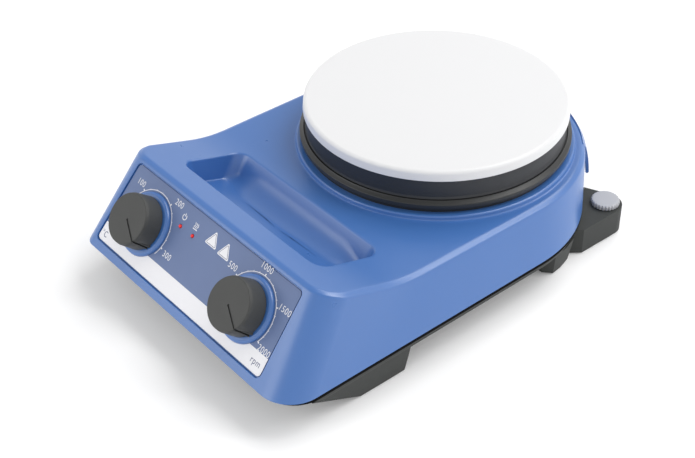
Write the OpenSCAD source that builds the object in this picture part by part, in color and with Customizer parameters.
// Hotplate magnetic stirrer: a low sloping housing with two knobs, a parts tray, a round heating
// plate over a spinning magnet, and a base pan on four wedge feet with a lug for a support rod.
// Origin: middle of the footprint, at bench level. +Z up, -Y towards the user.

/* [Plate] */
// Diameter of the round heating plate
plate_d = 125; // [120:0.5:127]
// Thickness of the heating plate
plate_t = 5; // [4:0.5:6]
// Height of the plate's top above the bench
plate_top = 65; // [65:0.5:68]

/* [Housing] */
// Width of the housing along its lower edge, at the front
body_w = 166.6; // [164:0.2:170]
// Distance from the plate's axis to the front lower edge
front_reach = 156.3; // [155:0.1:158]
// Radius of the flat deck around the plate, before its edge is rounded
deck_r = 71.7; // [71:0.1:73]
// Depth of the deck below the plate's top
deck_drop = 23.4; // [23:0.1:24]
// Radius reached by the splash hood behind the plate
hood_r = 74.7; // [74:0.1:77]
// Height of the housing's lower edge above the bench
seam_z = 18.4; // [18:0.1:19]
// Tilt of the control panel from the horizontal
panel_tilt = 49.9; // [49:0.1:51]
// Thickness of the housing's walls
wall = 2.8; // [2.4:0.1:3]

/* [Tray] */
// Half the length of the tray's mouth
tray_half = 50.4; // [46:0.2:51]
// Depth of the tray below the sloping top
tray_depth = 12; // [8:0.5:12.5]

/* [Controls] */
// Distance of each knob's axis from the middle
knob_x = 38; // [36:0.5:40]
// Radius of a knob at its face
knob_r = 12; // [10:0.5:12.5]
// Height of a knob's face above the label
knob_h = 12.1; // [11:0.1:14]
// Direction of each knob's pointer, measured from the right
pointer_angle = -34; // [-34:1:210]

/* [Drive] */
// Radius of the drive shaft
shaft_r = 3; // [2.5:0.25:3.5]
// Radius of the motor can
motor_r = 27; // [24:0.5:28]
// Distance of each drive magnet from the axis
magnet_x = 16; // [14:0.5:18]

/* [Hidden] */
$fn = 64;

// Running clearance between a turning shaft and its bearing
run_gap = 0.05;
// Overlap used where one shape is cut from another
cut = 1;

// Plate axis and heights
// The rounded rear ridge stands this far inside the sharp one
ridge_round_in = 0.22;
plate_y = (front_reach - deck_r + ridge_round_in) / 2;
plate_r = plate_d / 2;
plate_under = plate_top - plate_t;
deck_z = plate_top - deck_drop;
wall_top = 2.4;

// Sloping top between the panel and the deck, as distances from the plate's axis
slope = 0.316;
slope_start = -93.6;
slope_end = -70.4;
slope_k = slope / (2 * (slope_end - slope_start));

// Front and back of the tray at its mouth and along its floor, from the plate's axis
tray_y = [-111.4, -77.6];
tray_floor_y = [-109.6, -85.4];

// Seam outline: front corner circle and rear circle, from the plate's axis
seam_front_r = 16;
left_front_x = 68.9;
left_front_r = 7;
seam_rear_r = 69.5;
seam_rear_x = 12;
seam_rear_y = -9;

// Deck outline: front corner circle
panel_height = plate_top - 9.74 - seam_z;
ridge_front = -front_reach + panel_height / tan(panel_tilt);
ridge_front_r = 13;

// Panel frame: its origin lies on the label's face between the knobs
front_face_h = 0.6;
front_wall = 4.6;
panel_mid = 24.25;
label_t = 0.5;
label_top_half = 60.3;
label_low_half = 62.2;
label_up = 20.98;
label_down = 20.1;
label_r = 2.6;
label_gap = 0.7;
bush_r = 3.6;
seat_h = 3.6;
knob_foot = 2.25;
pot_shaft_top = 9;
board_h = -12;
board_foot_top = 15;
collar_r = 14.9;
collar_top_r = 13;
collar_h = 2;
light_x = [-18.5, -9.3];
light_t = 9.3;

// Base pan
seal_t = 1;
pan_top = seam_z - seal_t;
pan_low = 10.4;
pan_floor = 2.6;
floor_z = pan_low + pan_floor;
head_seat = 11;
front_foot_x = [58, 79.8];
foot_low = 0.6;
pad_t = 1.6;
body_screw = [[62, -127], [59, 22]];
boss_r = 4.6;
front_pad = [67, -101.5];
rear_pad = [64, 12];

// Plate group heights
collar_foot = deck_z + 2.2;
pedestal_r = 66.4;
pedestal_in = 56;
baffle_z = plate_under - 7.8;
disc_z = plate_under - 7;
press_z = plate_under - 3;
element_z = plate_under - 2;
standoff_r = 50;
standoff_turns = [30, 150, 270];
stud_hole_r = 2.1;
press_screw_r = 12;
press_turns = [0, 120, 240];
press_hole_r = 1.6;
plate_bore = 3.2;
lead_at = [-29, -33];
cutout_at = [28, -18];

// Motor heights
bracket_z = 31;
bracket_t = 1.5;
can_low = 14.6;
carrier_z = 39;
magnet_z = 42;
post_at = [[34, 26], [-34, 26], [34, -26], [-34, -26]];

// Power board
board_z = 15.4;
board_t = 1.6;
board_top = board_z + board_t;
board_x = [-72, 42];
board_y = [-104, -44];
board_screw = [[-68, -100], [38, -100], [38, -48], [-68, -46.5]];

// Rear bay
bay_half = 37;
bay_back = 56.2;
bay_top = deck_z - 1.4;
panel_t = 2.4;
socket_z = 29.2;
inlet_x = -16;
switch_x = 11;
fuse_x = 27.5;
fuse_r = 5.6;

// Rod lug
lug_at = [65.3, 52];
lug_end_r = 8.2;
lug_top = 14;
insert_r = 6.2;
thread_r = 4.3;
plug_cap_r = 6.95;
plug_cap_h = 2.7;

// ---------- helpers ----------

// Closed ring from a right half and a left half, each given from front to back with x positive
function both(right, left) = concat(
    right, [for (i = [len(left) - 1:-1:0]) [-left[i][0], left[i][1], left[i][2]]]);
function ring(half) = both(half, half);

// Right half of a plan outline made of a front corner circle, a straight side and a rear circle
function half_outline(fx, fy, fr, rx, ry, rr, nf = 6, ns = 12, nr = 12) = concat(
    [for (i = [0:nf]) let (a = -90 + 90 * i / nf) [fx + fr * cos(a), fy + fr * sin(a)]],
    [for (i = [1:ns - 1]) let (u = i / ns)
        [(fx + fr) * (1 - u) + (rx + rr) * u, fy * (1 - u) + ry * u]],
    [for (i = [0:nr]) let (a = 90 * i / nr) [rx + rr * cos(a), ry + rr * sin(a)]]
);

// Height of the housing's top at a distance behind the plate's axis
function top_z(y) =
    y > slope_end ? deck_z
    : y > slope_start ? deck_z + slope_k * pow(slope_end - y, 2)
    : deck_z + slope * ((slope_start + slope_end) / 2 - y);

// Plan outlines, drawn in by an inset at the sides and another at the front
function seam_half(inset, front_inset) = half_outline(
    body_w / 2 - seam_front_r, -front_reach + seam_front_r + front_inset - inset,
    seam_front_r - inset, seam_rear_x, seam_rear_y, seam_rear_r - inset);
// On the left the corner is tighter and further in, and the side bulges out behind it
function seam_left(inset, front_inset) =
    let (fx = left_front_x - left_front_r, fy = -front_reach + left_front_r + front_inset - inset)
    let (bulge = body_w / 2 - left_front_x, rx = body_w / 2 - seam_rear_r)
    [for (i = [0:30]) i <= 6
        ? let (a = -90 + 15 * i) [fx, fy] + (left_front_r - inset) * [cos(a), sin(a)]
        : i < 18
        ? let (u = (i - 6) / 12)
            [left_front_x - inset + bulge * (1 - pow(1 - u, 3)), fy * (1 - u) + seam_rear_y * u]
        : let (a = 7.5 * (i - 18)) [rx, seam_rear_y] + (seam_rear_r - inset) * [cos(a), sin(a)]];
function ridge_half(inset, front_inset) = half_outline(
    deck_r - ridge_front_r, ridge_front + ridge_front_r + front_inset - inset,
    ridge_front_r - inset, 0.4, 0, deck_r - 0.4 - inset);

function lift(half, z) = [for (p = half) [p[0], p[1], z]];
function unit(v) = v / norm(v);
function seam_ring(inset, front_inset, z) = both(
    lift(seam_half(inset, front_inset), z), lift(seam_left(inset, front_inset), z));
function inward(i, half) =
    let (a = half[max(i - 1, 0)], b = half[min(i + 1, len(half) - 1)])
    i == 0 ? [0, 1] : i == len(half) - 1 ? [0, -1] : unit([-(b[1] - a[1]), b[0] - a[0]]);

// Half rings of the outer skin: seam, wall, rounded ridge, top
function skin_halves(seam, ridge, drop, round_l, seam_h, step) =
    let (crest = [for (p = ridge) [p[0], p[1], top_z(p[1]) - drop]])
    let (low = lift(seam, seam_h))
    let (wall_pt = [for (i = [0:len(crest) - 1]) crest[i] + unit(low[i] - crest[i]) * round_l])
    let (top_pt = [for (i = [0:len(crest) - 1])
        let (q = [crest[i][0], crest[i][1]] + inward(i, ridge) * round_l)
        [max(q[0], 0.2), q[1], top_z(q[1]) - drop]])
    concat([low],
        [for (s = [0:step:1]) [for (i = [0:len(crest) - 1])
            wall_pt[i] * pow(1 - s, 2) + crest[i] * 2 * s * (1 - s) + top_pt[i] * pow(s, 2)]]);

// Rings of a skin drawn in by an inset at the sides and another at the front
function skin_rings(inset, front_inset, drop, round_l, seam_h, step) =
    let (ridge = ridge_half(inset, front_inset))
    let (right = skin_halves(seam_half(inset, front_inset), ridge, drop, round_l, seam_h, step))
    let (left = skin_halves(seam_left(inset, front_inset), ridge, drop, round_l, seam_h, step))
    [for (k = [0:len(right) - 1]) both(right[k], left[k])];

// Closed skin through rings made of two halves that run from front to back
module loft(rings) {
    n = len(rings[0]);
    m = n / 2;
    last = len(rings) - 1;
    sides = [for (k = [0:last - 1], i = [0:n - 1])
        [k * n + i, k * n + (i + 1) % n, (k + 1) * n + (i + 1) % n, (k + 1) * n + i]];
    low = [for (i = [0:m - 2]) [i, n - 1 - i, n - 2 - i, i + 1]];
    high = [for (i = [0:m - 2]) [i, i + 1, n - 2 - i, n - 1 - i] + last * n * [1, 1, 1, 1]];
    points = [for (r = rings, p = r) p];
    polyhedron(points, [for (f = concat(sides, low, high)) [f[3], f[2], f[1], f[0]]], convexity = 6);
}

// Solid between two plan polygons at two heights
module taper(low, low_z, high, high_z) {
    n = len(low);
    points = concat([for (p = low) [p[0], p[1], low_z]], [for (p = high) [p[0], p[1], high_z]]);
    faces = concat(
        [[for (i = [0:n - 1]) i]],
        [[for (i = [n - 1:-1:0]) n + i]],
        [for (i = [0:n - 1]) [i, n + i, n + (i + 1) % n, (i + 1) % n]]);
    polyhedron(points, faces);
}

module at_plate() {
    translate([0, plate_y, 0]) children();
}

// Frame of the control panel: x to the right, y up the slope, z out of the panel
module on_panel(x = 0, t = 0, h = 0) {
    depth = front_face_h + 0.05;
    along = front_reach - panel_mid * cos(panel_tilt) - depth * sin(panel_tilt);
    up = seam_z + panel_mid * sin(panel_tilt) - depth * cos(panel_tilt);
    translate([0, plate_y - along, up])
        rotate([panel_tilt, 0, 0])
            translate([x, t, h]) children();
}

// Ring with a rectangular section
module tube(r_out, r_in, h) {
    difference() {
        cylinder(h = h, r = r_out);
        translate([0, 0, -cut]) cylinder(h = h + 2 * cut, r = r_in);
    }
}

// Flat rectangle with round corners, standing on z = 0
module pad_block(size, r, h) {
    for (sx = [-1, 1], sy = [-1, 1])
        translate([sx * (size[0] / 2 - r), sy * (size[1] / 2 - r), 0]) cylinder(h = h, r = r);
    translate([-size[0] / 2 + r, -size[1] / 2, 0]) cube([size[0] - 2 * r, size[1], h]);
    translate([-size[0] / 2, -size[1] / 2 + r, 0]) cube([size[0], size[1] - 2 * r, h]);
}

// Insulated wire swept through a list of points; side is any direction that the wire never takes
module wire(points, r, side) {
    n = 8;
    last = len(points) - 1;
    dirs = [for (i = [0:last]) unit(points[min(i + 1, last)] - points[max(i - 1, 0)])];
    skin = [for (i = [0:last], k = [0:n - 1])
        let (u = unit(cross(dirs[i], side)), v = cross(dirs[i], u), a = 360 * k / n)
        points[i] + r * (u * cos(a) + v * sin(a))];
    faces = concat(
        [[for (k = [n - 1:-1:0]) k]],
        [[for (k = [0:n - 1]) last * n + k]],
        [for (i = [0:last - 1], k = [0:n - 1])
            [i * n + k, i * n + (k + 1) % n, (i + 1) * n + (k + 1) % n, (i + 1) * n + k]]);
    polyhedron(skin, [for (f = faces) [for (k = [len(f) - 1:-1:0]) f[k]]]);
}

// ---------- casing ----------

// Tray outline with round corners, as a right half from front to back
function tray_half_ring(half_x, y0, y1, r) = concat(
    [for (i = [0:4]) let (a = -90 + 22.5 * i) [half_x - r + r * cos(a), y0 + r + r * sin(a)]],
    [for (i = [0:4]) let (a = 22.5 * i) [half_x - r + r * cos(a), y1 - r + r * sin(a)]]
);

module tray_void(grow) {
    mouth = tray_half_ring(tray_half + grow, tray_y[0] - grow, tray_y[1] + grow, 6);
    base = tray_half_ring(tray_half - 1.4 + grow, tray_floor_y[0] - grow, tray_floor_y[1] + grow, 4);
    mouth_z = [for (p = mouth) [p[0], p[1], top_z(p[1])]];
    base_z = [for (p = base)
        [p[0], p[1], deck_z + slope * ((slope_start + slope_end) / 2 - p[1]) - tray_depth - grow]];
    above = mouth_z + (mouth_z - base_z) * 0.4;
    loft([ring(base_z), ring(above)]);
}

module hood() {
    rotate([0, 0, 46])
        rotate_extrude(angle = 88, $fn = 96)
            polygon([
                [deck_r - 3.4, deck_z - 2.2], [deck_r - 1.2, deck_z - 0.5], [deck_r + 0.6, deck_z - 3.4],
                [hood_r - 0.7, deck_z - 11], [hood_r, seam_z + 6.2], [hood_r - 0.4, seam_z + 5.3],
                [hood_r - 1.1, seam_z + 5.3], [hood_r - 1.5, seam_z + 6], [hood_r - 2.3, deck_z - 11],
                [deck_r - 1.6, deck_z - 5], [deck_r - 3.4, deck_z - 5]
            ]);
}

// Outer form and hollow of the housing, before anything is bored through it
module shell() {
    resize([body_w, 0, 0]) difference() {
        union() {
            difference() {
                loft(skin_rings(0, 0, 0, 2.8, seam_z, 0.25));
                difference() {
                    loft(skin_rings(wall, front_wall, wall_top, 2, seam_z - cut, 1));
                    tray_void(wall_top);
                    for (p = body_screw, sx = [-1, 1])
                        translate([sx * p[0], p[1], seam_z - 2 * cut])
                            cylinder(h = 60, r = boss_r, $fn = 24);
                    translate([-bay_half - 2.4, bay_back - panel_t - 2.4, seam_z - 2 * cut])
                        cube([2 * bay_half + 4.8, 40, 60]);
                }
                // Label recess
                translate([0, -plate_y, 0]) on_panel(0, 0, -label_t)
                    linear_extrude(height = 10) label_outline(0);
            }
            hood();
        }
        tray_void(0);
        // Rear bay, the window behind its panel, and the gap in the hood above the sockets
        translate([-bay_half, bay_back - panel_t, seam_z - cut])
            cube([2 * bay_half, 40, bay_top - seam_z + cut]);
        translate([-bay_half + 1.5, bay_back - 12, seam_z - cut])
            cube([2 * bay_half - 3, 20, bay_top - seam_z - 1.5 + cut]);
    }
}

module housing() {
    color([0.38, 0.5, 0.76]) difference() {
        union() {
            at_plate() {
                shell();
                // Pedestal ring that carries the flange
                rotate_extrude() polygon([
                    [pedestal_in, deck_z - 0.5], [pedestal_r, deck_z - 0.5],
                    [pedestal_r, collar_foot - 0.5], [pedestal_r - 0.5, collar_foot],
                    [pedestal_in, collar_foot]
                ]);
            }
            for (sx = [-1, 1]) on_panel(sx * knob_x, 0, -label_t - 1) collar();
        }
        at_plate() {
            // Deck openings: magnet well, stand-off studs, heater leads
            translate([0, 0, deck_z - 10]) cylinder(h = 20, r = 32);
            translate([0, 0, deck_z - 10]) stud_holes(stud_hole_r, 20);
            translate([lead_at[0], lead_at[1], deck_z - 10]) cylinder(h = 20, r = 3.6);
            // Pilot holes for the base screws
            for (p = body_screw, sx = [-1, 1])
                translate([sx * p[0], p[1], seam_z - cut]) cylinder(h = 15 + cut, r = 1.6);
        }
        // Control bores with flat seats behind them, and holes for the lights
        for (sx = [-1, 1]) {
            on_panel(sx * knob_x, 0, -20) cylinder(h = 30, r = bush_r + 0.1);
            on_panel(sx * knob_x, 0, -30) cylinder(h = 30 - seat_h, r = 10);
            on_panel(sx * knob_x, 0, -label_t) cylinder(h = 10, r = 6.6);
        }
        for (x = light_x) on_panel(x, light_t, -20) cylinder(h = 30, r = 1);
    }
}

// Blue collar around a control shaft, rounded towards the knob
module collar() {
    base = label_t + 1;
    rotate_extrude()
        polygon([
            [6, 0], [collar_r, 0], [collar_r, base + 0.3], [collar_r - 0.6, base + 1.2],
            [collar_top_r + 0.3, base + collar_h - 0.25], [collar_top_r - 0.5, base + collar_h],
            [6, base + collar_h]
        ]);
}

// Label outline, drawn in by a gap all round
module label_outline(gap) {
    r = label_r - gap;
    top = label_top_half - label_r;
    low = label_low_half - label_r;
    up = label_up - label_r;
    down = -label_down + label_r;
    polygon(concat(
        [for (a = [0:15:90]) [top + r * cos(a), up + r * sin(a)]],
        [for (a = [90:15:180]) [-top + r * cos(a), up + r * sin(a)]],
        [for (a = [180:15:270]) [-low + r * cos(a), down + r * sin(a)]],
        [for (a = [270:15:360]) [low + r * cos(a), down + r * sin(a)]]));
}

module control_label() {
    color([0.44, 0.51, 0.65]) on_panel(0, 0, -label_t) difference() {
        linear_extrude(height = label_t) label_outline(label_gap);
        for (sx = [-1, 1])
            translate([sx * knob_x, 0, -cut]) cylinder(h = label_t + 2 * cut, r = collar_r + 0.1);
        for (x = light_x)
            translate([x, light_t, -cut]) cylinder(h = label_t + 2 * cut, r = 1);
    }
}

module housing_seal() {
    color([0.05, 0.05, 0.06]) at_plate() difference() {
        loft([seam_ring(0.8, 2, pan_top), seam_ring(0.8, 2, seam_z)]);
        loft([seam_ring(2.7, 5, pan_top - cut), seam_ring(2.7, 5, seam_z + cut)]);
        translate([-bay_half - 0.2, bay_back - 6, pan_top - cut]) cube([2 * bay_half + 0.4, 40, 4]);
    }
}

// ---------- base ----------

// Wedge foot: slopes down from the front, flat under the pan, steep behind
module front_foot() {
    translate([front_foot_x[0], 0, 0]) rotate([90, 0, 90])
        linear_extrude(height = front_foot_x[1] - front_foot_x[0])
            polygon([
                [-141, pan_low + 2], [-114, foot_low], [-89, foot_low],
                [-87.2, pan_low], [-86.8, pan_low + 2]
            ]);
}

module rear_foot() {
    taper(
        [[54, 3.5], [71.5, 3.5], [75.4, 7], [74.6, 13], [72.4, 20], [54, 20]], foot_low,
        [[54, 1.5], [72.2, 1.5], [77, 5.5], [76.2, 13.5], [73.4, 21.5], [54, 22]], pan_low + 1.4);
}

// Lug that carries the support rod's threaded insert
module rod_lug() {
    translate([0, 0, foot_low]) linear_extrude(height = lug_top - foot_low)
        polygon(concat(
            [[56, 17], [64, 17], [68.9, 23], [73.5, 28.6]],
            [for (a = [0:12:108]) [lug_at[0] + lug_end_r * cos(a), lug_at[1] + lug_end_r * sin(a)]],
            [[50, 54], [46, 50], [46, 40]]));
}

module base_pan() {
    color([0.36, 0.37, 0.37]) at_plate() difference() {
        union() {
            difference() {
                loft([
                    seam_ring(4.4, 8.5, pan_low), seam_ring(1.5, 5, pan_low + 3.6),
                    seam_ring(1.2, 2, pan_top)
                ]);
                loft([
                    seam_ring(6.6, 10.7, floor_z), seam_ring(4, 8, floor_z + 2),
                    seam_ring(3.6, 5, pan_top + cut)
                ]);
            }
            intersection() {
                for (sx = [-1, 1]) mirror([sx < 0 ? 1 : 0, 0, 0]) front_foot();
                loft([seam_ring(3, 3, foot_low - cut), seam_ring(1.5, 1.5, pan_top)]);
            }
            for (sx = [-1, 1]) mirror([sx < 0 ? 1 : 0, 0, 0]) rear_foot();
            rod_lug();
            for (p = body_screw, sx = [-1, 1])
                translate([sx * p[0], p[1], pan_low]) cylinder(h = seam_z - 0.05 - pan_low, r = boss_r);
            for (p = post_at) translate([p[0], p[1], pan_low]) cylinder(h = bracket_z - pan_low, r = 4);
            for (p = board_screw)
                translate([p[0], p[1], pan_low]) cylinder(h = board_z - pan_low, r = 3.2);
            for (sx = [-1, 1])
                translate([sx * 46 - 3, -128, pan_low]) cube([6, 3, board_foot_top - pan_low]);
        }
        for (p = body_screw, sx = [-1, 1]) translate([sx * p[0], p[1], 0]) {
            translate([0, 0, -cut]) cylinder(h = head_seat + cut, r = 3.4);
            cylinder(h = 30, r = 1.6);
        }
        for (p = post_at) translate([p[0], p[1], bracket_z - 12]) cylinder(h = 20, r = 1.5);
        for (p = board_screw) translate([p[0], p[1], board_z - 4]) cylinder(h = 10, r = 1.3);
        translate([lug_at[0], lug_at[1], foot_low - cut]) cylinder(h = 20, r = insert_r);
        // Slot that holds the rear panel's lower edge
        translate([-bay_half, bay_back - panel_t - 0.1, floor_z])
            cube([2 * bay_half, panel_t + 0.2, 10]);
        // Pockets for the rubber pads
        for (sx = [-1, 1]) {
            translate([sx * front_pad[0], front_pad[1], foot_low - cut])
                pad_block([12.2, 18], 3, pad_t - foot_low + cut);
            translate([sx * rear_pad[0], rear_pad[1], foot_low - cut])
                cylinder(h = pad_t - foot_low + cut, r = 5.5);
        }
    }
}

module foot_pads() {
    color([0.16, 0.16, 0.17]) at_plate() for (sx = [-1, 1]) {
        translate([sx * front_pad[0], front_pad[1], 0]) pad_block([12, 17.8], 2.9, pad_t);
        translate([sx * rear_pad[0], rear_pad[1], 0]) cylinder(h = pad_t, r = 5.4);
    }
}

// Screw with its head's underside on z = 0 and its shank towards +z
module screw(head_r, head_h, shank_r, length) {
    translate([0, 0, -head_h]) difference() {
        cylinder(h = head_h, r = head_r);
        translate([0, 0, -cut]) cylinder(h = cut + head_h * 0.55, r = head_r * 0.5, $fn = 6);
    }
    translate([0, 0, -0.01]) cylinder(h = length, r = shank_r);
}

module base_screws() {
    color([0.75, 0.76, 0.78]) at_plate()
        for (p = body_screw, sx = [-1, 1])
            translate([sx * p[0], p[1], head_seat]) screw(3, 2.2, 1.5, 20);
}

// ---------- plate group ----------

module heating_plate() {
    color([0.96, 0.96, 0.97]) at_plate() difference() {
        rotate_extrude($fn = 128) polygon(concat(
            [[0, plate_under], [plate_r, plate_under], [plate_r + 0.25, plate_under + 0.4],
             [plate_r + 0.1, plate_top - 1.6]],
            [for (a = [15:15:90]) [plate_r - 1.6 + 1.6 * cos(a), plate_top - 1.6 + 1.6 * sin(a)]],
            [[0, plate_top]]));
        translate([0, 0, plate_under - cut]) {
            stud_holes(stud_hole_r, plate_bore + cut);
            press_holes(press_hole_r, plate_bore + cut);
        }
    }
}

// Holes for the three stand-off studs, and for the three screws of the pressing plate
module stud_holes(r, h) {
    for (a = standoff_turns) rotate([0, 0, a]) translate([standoff_r, 0, 0]) cylinder(h = h, r = r);
}

module press_holes(r, h) {
    for (a = press_turns) rotate([0, 0, a]) translate([press_screw_r, 0, 0]) cylinder(h = h, r = r);
}

module insulating_collar() {
    color([0.2, 0.21, 0.22]) at_plate() translate([0, 0, plate_under - 10])
        rotate_extrude($fn = 128) polygon([
            [58.5, 0], [62, 0], [61.6, 1.2], [61.4, 9.2], [60.8, 10], [58.5, 10]
        ]);
}

module flange_ring() {
    color([0.16, 0.17, 0.18]) at_plate() rotate_extrude($fn = 128) polygon([
        [57.5, collar_foot], [62.8, collar_foot], [63, collar_foot + 2.4], [64.5, collar_foot + 2.9],
        [64.6, plate_under - 11.6], [64.1, plate_under - 11.1], [62.6, plate_under - 10],
        [57.5, plate_under - 10]
    ]);
}

module heating_element() {
    color([0.62, 0.55, 0.45]) at_plate() translate([0, 0, element_z]) difference() {
        cylinder(h = plate_under - element_z, r = 45);
        translate([0, 0, -cut]) cylinder(h = 5, r = 18);
    }
}

module pressing_plate() {
    color([0.7, 0.71, 0.72]) at_plate() translate([0, 0, press_z]) difference() {
        cylinder(h = element_z - press_z, r = 54);
        translate([0, 0, -cut]) {
            cylinder(h = 5, r = 3.3);
            translate([lead_at[0], lead_at[1], 0]) cylinder(h = 5, r = 2.6);
            press_holes(press_hole_r, 5);
            stud_holes(stud_hole_r, 5);
        }
    }
}

module pressing_screws() {
    color([0.75, 0.76, 0.78]) at_plate()
        for (a = press_turns)
            rotate([0, 0, a]) translate([press_screw_r, 0, press_z]) screw(2.8, 2, 1.5, 6);
}

module insulation_disc() {
    color([0.86, 0.84, 0.78]) at_plate() translate([0, 0, disc_z]) difference() {
        cylinder(h = press_z - disc_z, r = 56);
        translate([0, 0, -cut]) {
            cylinder(h = 8, r = 4);
            translate([lead_at[0], lead_at[1], 0]) cylinder(h = 8, r = 2.6);
            translate([cutout_at[0], cutout_at[1], 0]) cylinder(h = 8, r = 8.4);
            press_holes(3.6, 8);
            stud_holes(stud_hole_r, 8);
        }
    }
}

module heat_baffle() {
    color([0.78, 0.79, 0.8]) at_plate() translate([0, 0, baffle_z]) difference() {
        cylinder(h = disc_z - baffle_z, r = 57);
        translate([0, 0, -cut]) {
            translate([lead_at[0], lead_at[1], 0]) cylinder(h = 8, r = 2.6);
            stud_holes(stud_hole_r, 8);
        }
    }
}

module plate_standoffs() {
    color([0.8, 0.8, 0.78]) at_plate() for (a = standoff_turns)
        rotate([0, 0, a]) translate([standoff_r, 0, 0]) {
            translate([0, 0, deck_z]) cylinder(h = baffle_z - deck_z, r = 3.6);
            translate([0, 0, deck_z - 6.5]) cylinder(h = 7, r = 1.95);
            translate([0, 0, baffle_z - 0.5]) cylinder(h = plate_under + 3.3 - baffle_z, r = 1.95);
        }
}

module standoff_nuts() {
    color([0.75, 0.76, 0.78]) at_plate() for (a = standoff_turns)
        rotate([0, 0, a]) translate([standoff_r, 0, deck_z - wall_top - 3.4]) difference() {
            cylinder(h = 3.2, r = 4, $fn = 6);
            translate([0, 0, -cut]) cylinder(h = 6, r = 2);
        }
}

module temperature_probe() {
    color([0.72, 0.73, 0.75]) at_plate()
        translate([0, 0, disc_z + 0.1]) cylinder(h = plate_under - disc_z - 0.1, r = 3);
}

module thermal_cutout() {
    color([0.6, 0.6, 0.62]) at_plate() translate([cutout_at[0], cutout_at[1], disc_z]) {
        translate([0, 0, 1.5]) cylinder(h = press_z - disc_z - 1.5, r = 8);
        cylinder(h = 2, r = 5);
    }
}

// ---------- drive ----------

module motor_can() {
    color([0.66, 0.67, 0.69]) at_plate() difference() {
        translate([0, 0, can_low]) cylinder(h = bracket_z - can_low, r = motor_r);
        translate([0, 0, can_low + 3.4]) cylinder(h = 30, r = motor_r - 1.4);
        translate([0, 0, can_low + 1]) cylinder(h = 5, r = 6);
    }
}

module motor_stator() {
    color([0.72, 0.45, 0.25]) at_plate() translate([0, 0, can_low + 3.6]) difference() {
        cylinder(h = 9, r = motor_r - 1.5);
        translate([0, 0, -cut]) cylinder(h = 12, r = 14);
        for (a = [0:60:300])
            rotate([0, 0, a]) translate([motor_r - 6.5, 0, -cut]) cylinder(h = 12, r = 2.2);
    }
}

module motor_rotor() {
    color([0.5, 0.5, 0.53]) at_plate() translate([0, 0, can_low + 3.8]) tube(13.4, shaft_r + 0.02, 8.6);
}

module lower_bearing() {
    color([0.8, 0.8, 0.82]) at_plate() translate([0, 0, can_low + 1]) tube(5.98, shaft_r + run_gap, 2.4);
}

module upper_bearing() {
    color([0.8, 0.8, 0.82]) at_plate()
        translate([0, 0, bracket_z - 1.2]) tube(5.98, shaft_r + run_gap, 3.4);
}

module motor_bracket() {
    color([0.76, 0.77, 0.78]) at_plate() translate([0, 0, bracket_z]) difference() {
        pad_block([77, 61], 4.5, bracket_t);
        translate([0, 0, -cut]) {
            cylinder(h = 5, r = 6);
            for (p = post_at) translate([p[0], p[1], 0]) cylinder(h = 5, r = 1.7);
        }
    }
}

module bracket_screws() {
    color([0.75, 0.76, 0.78]) at_plate() for (p = post_at)
        translate([p[0], p[1], bracket_z + bracket_t]) rotate([180, 0, 0]) screw(2.8, 2, 1.45, 9);
}

module motor_shaft() {
    color([0.82, 0.82, 0.84]) at_plate()
        translate([0, 0, can_low + 1.1]) cylinder(h = magnet_z - can_low - 1.1, r = shaft_r);
}

module magnet_carrier() {
    color([0.3, 0.31, 0.33]) at_plate() difference() {
        union() {
            translate([0, 0, carrier_z]) cylinder(h = magnet_z - carrier_z, r = 28);
            translate([0, 0, bracket_z + 3.6]) cylinder(h = carrier_z - bracket_z, r = 6.5);
        }
        translate([0, 0, bracket_z]) cylinder(h = 20, r = shaft_r + 0.02);
    }
}

module drive_magnets() {
    color([0.56, 0.57, 0.6]) at_plate() for (sx = [-1, 1])
        translate([sx * magnet_x, 0, magnet_z]) pad_block([12, 22], 1, 7);
}

// ---------- controls ----------

module knob(at_x) {
    tip = knob_r + 2;
    on_panel(at_x, 0, 0) difference() {
        rotate_extrude($fn = 96) polygon([
            [0, knob_foot], [knob_r + 0.5, knob_foot], [knob_r + 0.1, knob_h - 1.2],
            [knob_r - 0.2, knob_h - 0.4], [knob_r - 0.9, knob_h], [0, knob_h]
        ]);
        translate([0, 0, knob_foot - cut])
            cylinder(h = pot_shaft_top - knob_foot + cut, r = shaft_r + 0.02);
        // Hollow skirt around the nut
        translate([0, 0, knob_foot - cut]) tube(9.4, 5.6, cut + 5);
        // Pointer groove across the face and down the side
        rotate([0, 0, pointer_angle]) translate([0, -0.5, knob_h - 0.5]) cube([tip, 1, 2]);
        rotate([0, 0, pointer_angle]) translate([knob_r - 0.35, -0.5, knob_foot + 1]) cube([3, 1, 12]);
    }
}

module temperature_knob() {
    color([0.24, 0.25, 0.26]) knob(-knob_x);
}

module speed_knob() {
    color([0.24, 0.25, 0.26]) knob(knob_x);
}

// Potentiometer: round case, threaded bushing through the wall, and its board pins
module potentiometer(at_x) {
    on_panel(at_x, 0, 0) difference() {
        union() {
            translate([0, 0, board_h]) cylinder(h = -seat_h - 0.05 - board_h, r = 8.2);
            translate([0, 0, -seat_h - 0.1]) cylinder(h = seat_h + 2, r = bush_r);
        }
        translate([0, 0, board_h - cut]) cylinder(h = 30, r = shaft_r + run_gap);
    }
}

module temperature_pot() {
    color([0.3, 0.42, 0.36]) potentiometer(-knob_x);
}

module speed_pot() {
    color([0.3, 0.42, 0.36]) potentiometer(knob_x);
}

module pot_shaft(at_x) {
    on_panel(at_x, 0, board_h + 1) cylinder(h = pot_shaft_top - board_h - 1.05, r = shaft_r);
}

module temperature_pot_shaft() {
    color([0.85, 0.85, 0.8]) pot_shaft(-knob_x);
}

module speed_pot_shaft() {
    color([0.85, 0.85, 0.8]) pot_shaft(knob_x);
}

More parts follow.
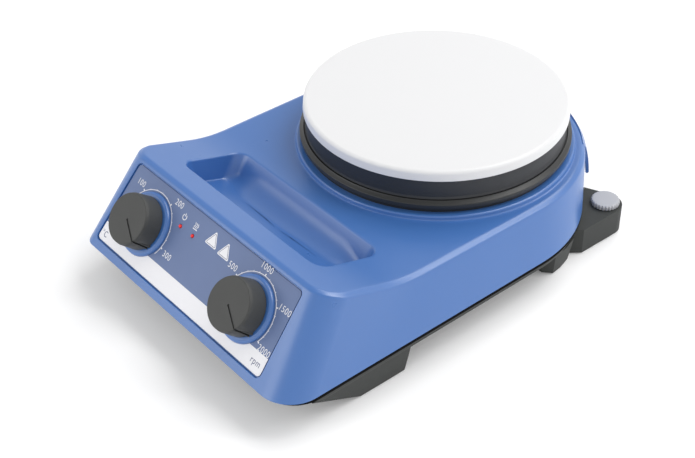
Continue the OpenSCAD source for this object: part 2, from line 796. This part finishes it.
module pot_nuts() {
    color([0.78, 0.78, 0.76]) for (sx = [-1, 1])
        on_panel(sx * knob_x, 0, -label_t) difference() {
            cylinder(h = 2, r = 5.4, $fn = 6);
            translate([0, 0, -cut]) cylinder(h = 5, r = bush_r + 0.02);
        }
}

// Red light: a dome above the label on a guide that stands on the control board
module light(at_x) {
    on_panel(at_x, light_t, board_h) {
        cylinder(h = -board_h + 0.1, r = 0.9);
        cylinder(h = 3, r = 1.6);
        translate([0, 0, -board_h + 0.1]) sphere(r = 0.9);
    }
}

module power_light() {
    color([0.9, 0.3, 0.25]) light(light_x[0]);
}

module heating_light() {
    color([0.9, 0.3, 0.25]) light(light_x[1]);
}

module control_board() {
    color([0.1, 0.38, 0.25]) on_panel(-52, -12.5, board_h - board_t) {
        cube([104, 25, board_t]);
        translate([30, 8, -3]) cube([12, 8, 3.01]);
        translate([58, 6, -2]) cube([9, 9, 2.01]);
    }
}

// ---------- power electronics ----------

module power_board() {
    color([0.12, 0.42, 0.27]) at_plate() translate([0, 0, board_z]) difference() {
        translate([board_x[0], board_y[0], 0])
            cube([board_x[1] - board_x[0], board_y[1] - board_y[0], board_t]);
        for (p = board_screw) translate([p[0], p[1], -cut]) cylinder(h = 5, r = 1.6);
    }
}

module board_screws() {
    color([0.75, 0.76, 0.78]) at_plate() for (p = board_screw)
        translate([p[0], p[1], board_top]) rotate([180, 0, 0]) screw(2.5, 1.8, 1.25, 5.2);
}

module transformer() {
    at_plate() translate([-52, -73, board_top]) {
        color([0.42, 0.43, 0.45]) difference() {
            cube([34, 20, 17]);
            translate([6, -cut, 4.5]) cube([22, 30, 8]);
        }
        color([0.75, 0.6, 0.3]) translate([6.2, -1, 4.7]) cube([21.6, 22, 7.6]);
    }
}

module heat_sink() {
    color([0.74, 0.75, 0.76]) at_plate() translate([12, -68, board_top]) {
        cube([24, 3, 16]);
        for (i = [0:4]) translate([i * 5.5, 2.9, 0]) cube([2, 12, 16]);
    }
}

module filter_capacitors() {
    color([0.16, 0.2, 0.35]) at_plate() for (i = [0, 1])
        translate([-10 + i * 13, -61, board_top]) cylinder(h = 15, r = 5.5);
}

module heating_relay() {
    color([0.2, 0.3, 0.55]) at_plate() translate([-20, -100, board_top]) cube([20, 16, 10]);
}

module terminal_block() {
    color([0.2, 0.45, 0.3]) at_plate() translate([-69, -72, board_top]) difference() {
        cube([10, 22, 11]);
        for (i = [0:3]) translate([5, 3.6 + i * 5, 4]) cylinder(h = 10, r = 1.6);
        for (i = [0:3]) translate([3, 3.6 + i * 5, 5]) rotate([0, 90, 0]) cylinder(h = 10, r = 1.2);
    }
}

// ---------- rear sockets ----------

module rear_panel() {
    color([0.3, 0.31, 0.32]) at_plate() difference() {
        translate([-bay_half + 0.1, bay_back - panel_t, floor_z + 0.05])
            cube([2 * bay_half - 0.2, panel_t, bay_top - floor_z - 0.15]);
        translate([inlet_x - 13.3, bay_back - 10, socket_z - 9.6]) cube([26.6, 20, 19.2]);
        translate([switch_x - 6.4, bay_back - 10, socket_z - 9.4]) cube([12.8, 20, 18.8]);
        translate([fuse_x, bay_back + cut, socket_z])
            rotate([90, 0, 0]) cylinder(h = 10, r = fuse_r + 0.1);
    }
}

// Outline of the mains socket's mouth: two corners cut away
module mouth_outline(half_x, half_z, chamfer) {
    polygon([
        [-half_x, -half_z], [half_x, -half_z], [half_x, half_z - chamfer], [half_x - chamfer, half_z],
        [-half_x + chamfer, half_z], [-half_x, half_z - chamfer]
    ]);
}

module mains_inlet() {
    color([0.12, 0.12, 0.13]) at_plate()
        translate([inlet_x, bay_back, socket_z]) rotate([90, 0, 0]) difference() {
            union() {
                translate([-14.3, -10.4, -2]) cube([28.6, 20.8, 2]);
                translate([-13.2, -9.5, -0.1]) cube([26.4, 19, 18.1]);
            }
            translate([0, 0, -2 - cut]) linear_extrude(height = 16 + cut) mouth_outline(12.2, 8.35, 4);
        }
}

module inlet_pins() {
    color([0.8, 0.8, 0.82]) at_plate() translate([inlet_x, bay_back - 15, socket_z]) {
        for (sx = [-1, 1]) translate([sx * 7 - 1, 1, -3.5]) cube([2, 12, 4]);
        translate([-1, 1, -0.5]) cube([2, 13.5, 4]);
    }
}

module switch_frame() {
    color([0.1, 0.1, 0.11]) at_plate() translate([switch_x, bay_back, socket_z]) difference() {
        union() {
            translate([-7.5, 0, -10.4]) cube([15, 1.8, 20.8]);
            translate([-6.3, -13, -9.3]) cube([12.6, 13.1, 18.6]);
        }
        rotate([0, 90, 0]) translate([0, -2, -4.9]) cylinder(h = 9.8, r = 8.3);
        rotate([0, 90, 0]) translate([0, -2, -5.8]) cylinder(h = 11.6, r = 1.25);
    }
}

module switch_rocker() {
    color([0.13, 0.13, 0.14]) at_plate() translate([switch_x, bay_back - 2, socket_z]) rotate([-8, 0, 0]) {
        rotate([90, 0, 90]) translate([0, 0, -4.7]) linear_extrude(height = 9.4)
            polygon([
                [-3, -6], [2.6, -7.5], [4.4, -6.6], [3.7, -3], [3.5, 0], [3.7, 3], [4.4, 6.6],
                [2.6, 7.5], [-3, 6]
            ]);
        translate([-5.7, 0, 0]) rotate([0, 90, 0]) cylinder(h = 11.4, r = 1.2);
    }
}

module fuse_holder() {
    color([0.12, 0.12, 0.13]) at_plate()
        translate([fuse_x, bay_back, socket_z]) rotate([90, 0, 0]) difference() {
            union() {
                translate([0, 0, -2]) cylinder(h = 2, r = 7.2);
                translate([0, 0, -0.1]) cylinder(h = 25.1, r = fuse_r);
            }
            translate([0, 0, -2 - cut]) cylinder(h = 25 + cut, r = 3.9);
        }
}

module fuse_cap() {
    color([0.14, 0.14, 0.15]) at_plate()
        translate([fuse_x, bay_back + 2.1, socket_z]) rotate([-90, 0, 0]) difference() {
            union() {
                cylinder(h = 4.5, r = 5.4);
                translate([0, 0, -8]) cylinder(h = 8.1, r = 3.8);
            }
            translate([0, 0, -8 - cut]) cylinder(h = 4 + cut, r = 2.6);
            translate([-4, -0.5, 3.6]) cube([8, 1, 2]);
        }
}

module fuse_link() {
    color([0.85, 0.85, 0.86]) at_plate() translate([fuse_x, bay_back - 1.9, socket_z]) rotate([90, 0, 0]) {
        cylinder(h = 5, r = 2.58);
        translate([0, 0, 4.9]) cylinder(h = 10.2, r = 2.2);
        translate([0, 0, 15]) cylinder(h = 5, r = 2.58);
    }
}

// ---------- support rod fitting ----------

module rod_insert() {
    color([0.72, 0.6, 0.35]) at_plate() translate([lug_at[0], lug_at[1], foot_low + 0.4])
        tube(insert_r - 0.02, thread_r, lug_top - foot_low - 0.4);
}

module rod_plug() {
    color([0.74, 0.74, 0.76]) at_plate() translate([lug_at[0], lug_at[1], lug_top + 0.05]) {
        difference() {
            cylinder(h = plug_cap_h, r = plug_cap_r);
            for (i = [0:23])
                rotate([0, 0, i * 15]) translate([plug_cap_r + 0.25, 0, -cut]) cylinder(h = 5, r = 0.7);
        }
        translate([0, 0, -8]) cylinder(h = 8.1, r = thread_r - 0.08);
    }
}

// ---------- leads ----------

module deck_grommet() {
    lip_t = 1.2;
    lip_r = 5;
    color([0.08, 0.08, 0.09]) at_plate()
        translate([lead_at[0], lead_at[1], deck_z - wall_top]) difference() {
            union() {
                translate([0, 0, -lip_t]) cylinder(h = lip_t, r = lip_r);
                translate([0, 0, -0.1]) cylinder(h = wall_top + 0.2, r = 3.5);
                translate([0, 0, wall_top]) cylinder(h = lip_t, r = lip_r);
            }
            translate([0, 0, -3]) cylinder(h = 10, r = 2.7);
        }
}

module heater_leads() {
    color([0.85, 0.2, 0.15]) at_plate() for (dx = [-1.3, 1.3])
        wire([
            [lead_at[0] + dx, lead_at[1], element_z - 0.1], [lead_at[0] + dx, lead_at[1], 27],
            [lead_at[0] + dx, lead_at[1] - 8, 22], [lead_at[0] + dx, lead_at[1] - 14, 20],
            [lead_at[0] + dx, lead_at[1] - 14, board_top]
        ], 0.9, [1, 0, 0]);
}

module motor_leads() {
    color([0.2, 0.3, 0.75]) at_plate() for (dx = [-1.4, 1.4])
        wire([
            [dx, -motor_r - 0.1, 20], [dx, -34, 21], [dx, -45, 21],
            [dx, -47.5, 19.5], [dx, -47.5, board_top]
        ], 0.8, [1, 0, 0]);
}

// Live and neutral: from the inlet round the motor, one above the other, into the terminal block
module mains_leads() {
    back = bay_back - 18.05;
    color([0.35, 0.2, 0.12]) at_plate() {
        wire([
            [inlet_x - 6, back, 24], [inlet_x - 6, back - 2, 24], [inlet_x - 12, 33, 22], [-47, 31, 20],
            [-52, 6, 20], [-54, -40, 20], [-55, -50.4, 22], [-57, -53.4, 22], [-60.5, -53.4, 22]
        ], 1, [0, 0, 1]);
        wire([
            [inlet_x - 6, back, 27], [inlet_x - 6, back - 2, 27], [inlet_x - 12, 33, 25], [-47, 31, 23],
            [-52, 6, 23], [-54, -40, 23.5], [-54.6, -52, 25], [-55.5, -57.5, 23], [-57.5, -58.4, 22],
            [-60.5, -58.4, 22]
        ], 1, [0, 0, 1]);
    }
}

housing();
base_pan();
housing_seal();
control_label();
foot_pads();
base_screws();
heating_plate();
insulating_collar();
flange_ring();
heating_element();
pressing_plate();
pressing_screws();
insulation_disc();
heat_baffle();
plate_standoffs();
standoff_nuts();
temperature_probe();
thermal_cutout();
motor_can();
motor_stator();
motor_rotor();
lower_bearing();
upper_bearing();
motor_bracket();
bracket_screws();
motor_shaft();
magnet_carrier();
drive_magnets();
temperature_knob();
speed_knob();
temperature_pot();
speed_pot();
temperature_pot_shaft();
speed_pot_shaft();
pot_nuts();
power_light();
heating_light();
control_board();
power_board();
board_screws();
transformer();
heat_sink();
filter_capacitors();
heating_relay();
terminal_block();
rear_panel();
mains_inlet();
inlet_pins();
switch_frame();
switch_rocker();
fuse_holder();
fuse_cap();
fuse_link();
rod_insert();
rod_plug();
deck_grommet();
heater_leads();
motor_leads();
mains_leads();
